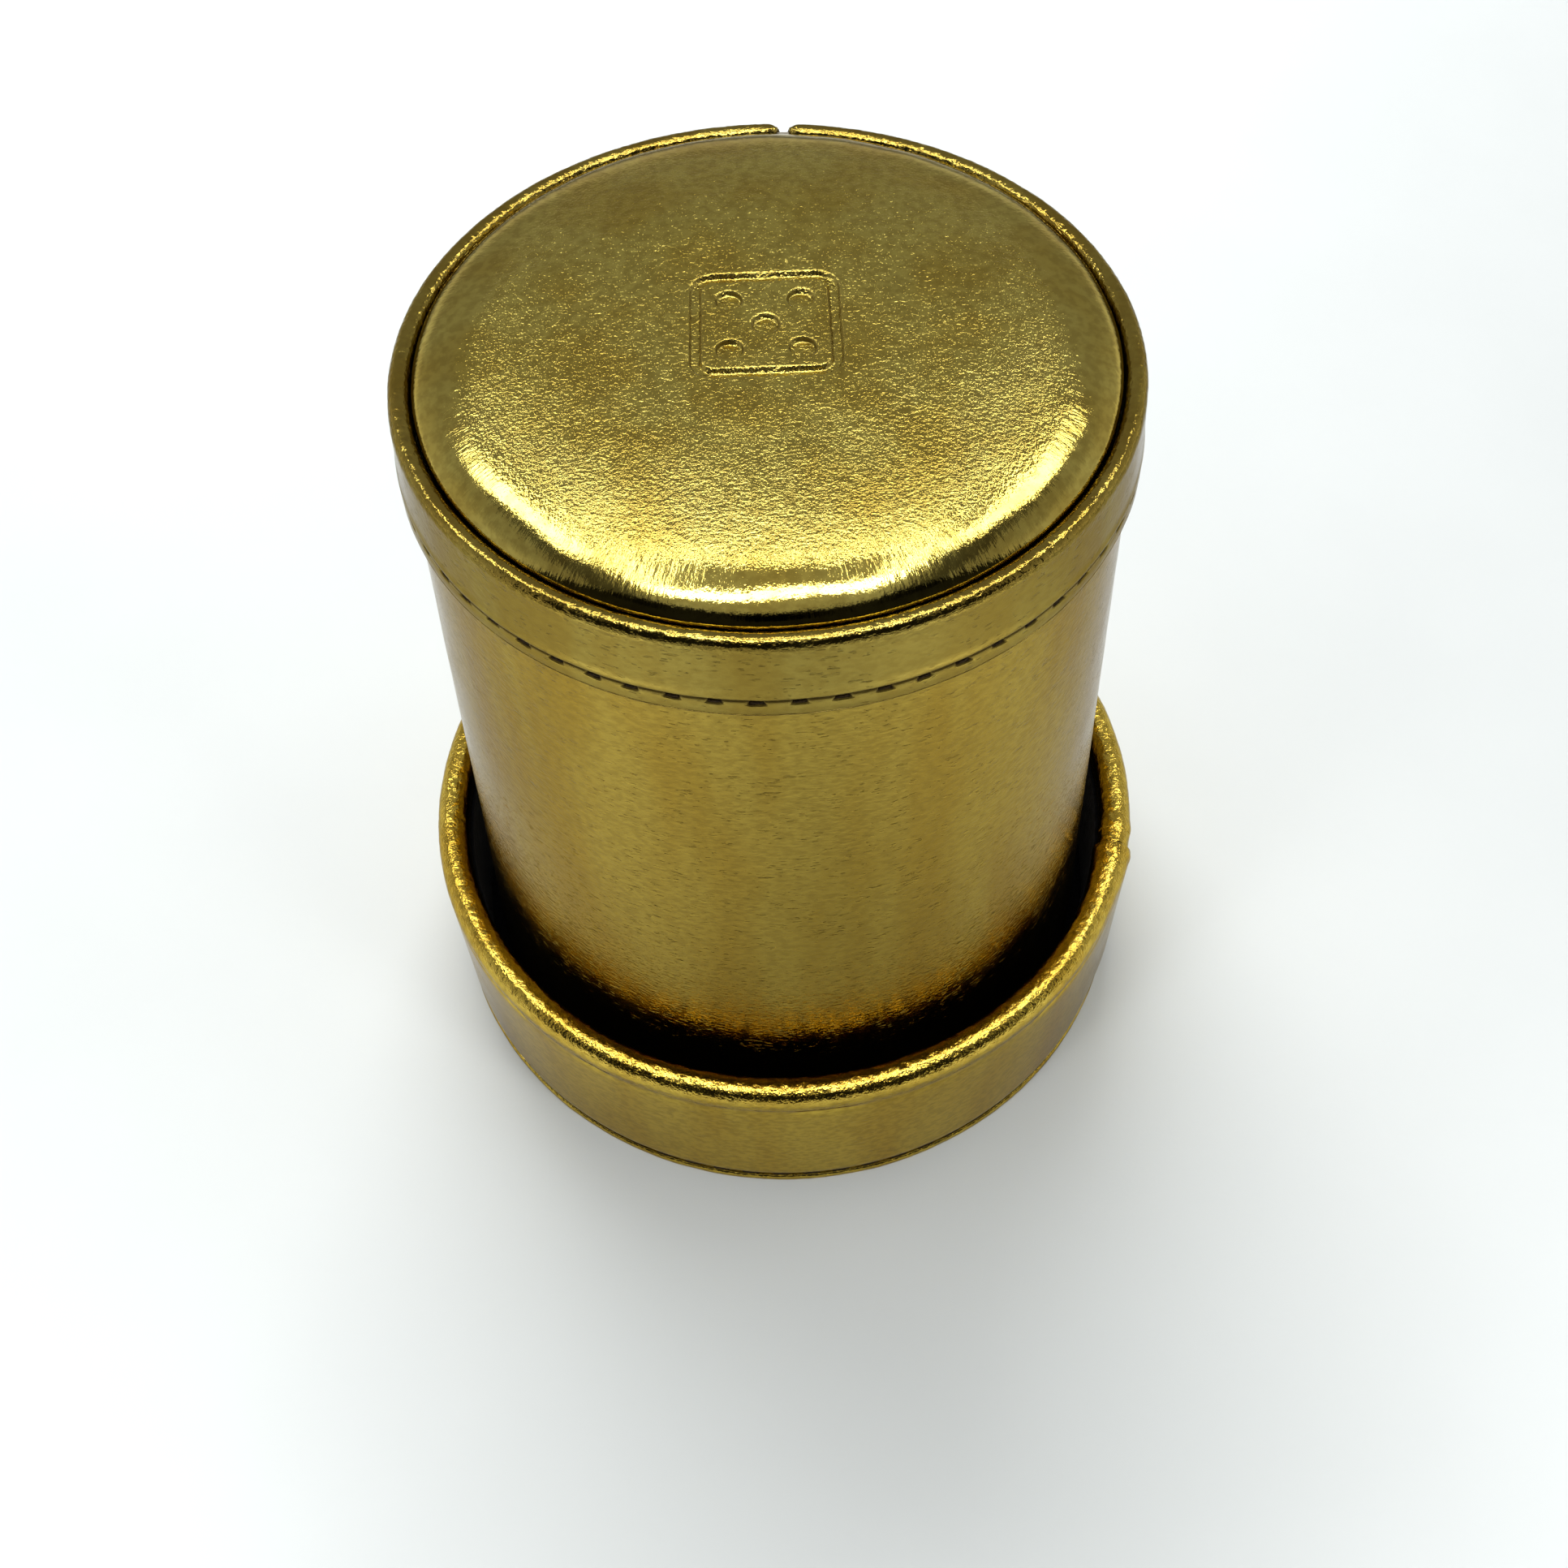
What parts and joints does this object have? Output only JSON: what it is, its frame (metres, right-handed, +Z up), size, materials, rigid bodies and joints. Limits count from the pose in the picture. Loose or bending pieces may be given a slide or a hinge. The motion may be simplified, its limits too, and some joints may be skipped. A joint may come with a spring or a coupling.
{
  "type": "dice cup",
  "caption": "Round tapered dice cup in gold metallic leatherette with a padded closed end, standing mouth down in a shallow felt-lined tray.",
  "frame": {"origin": "centre of the tray's underside, on the surface it stands on", "axes": "+Z up, along the common axis of the tray and the cup, from the cup's mouth to its padded closed end; every solid is round about Z"},
  "size_m": [0.09, 0.09, 0.1],
  "materials": {
    "gold_leatherette": "satin",
    "black_felt": "matte",
    "grey_board": "matte",
    "white_foam": "matte",
    "dark_thread": "matte"
  },
  "bodies": {
    "tray": {"tray_base_cover": "gold_leatherette", "tray_base_board": "grey_board", "tray_wall_core": "grey_board", "tray_rim_padding": "white_foam", "tray_wall_cover": "gold_leatherette", "tray_wall_lining": "black_felt", "tray_floor_lining": "black_felt", "tray_thread": "dark_thread"},
    "cup": {"cup_wall_core": "grey_board", "cup_wall_cover": "gold_leatherette", "cup_wall_lining": "black_felt", "cup_floor_lining": "black_felt", "cup_end_board": "grey_board", "rim_hoop": "grey_board", "rim_band": "gold_leatherette", "rim_band_thread": "dark_thread", "pad_board": "grey_board", "pad_foam": "white_foam", "pad_cover": "gold_leatherette"}
  },
  "joints": [
    {"name": "cup_lift", "type": "slide", "parent": "tray", "child": "cup", "axis": [0, 0, 1], "range_m": [0, 0.06]}
  ]
}
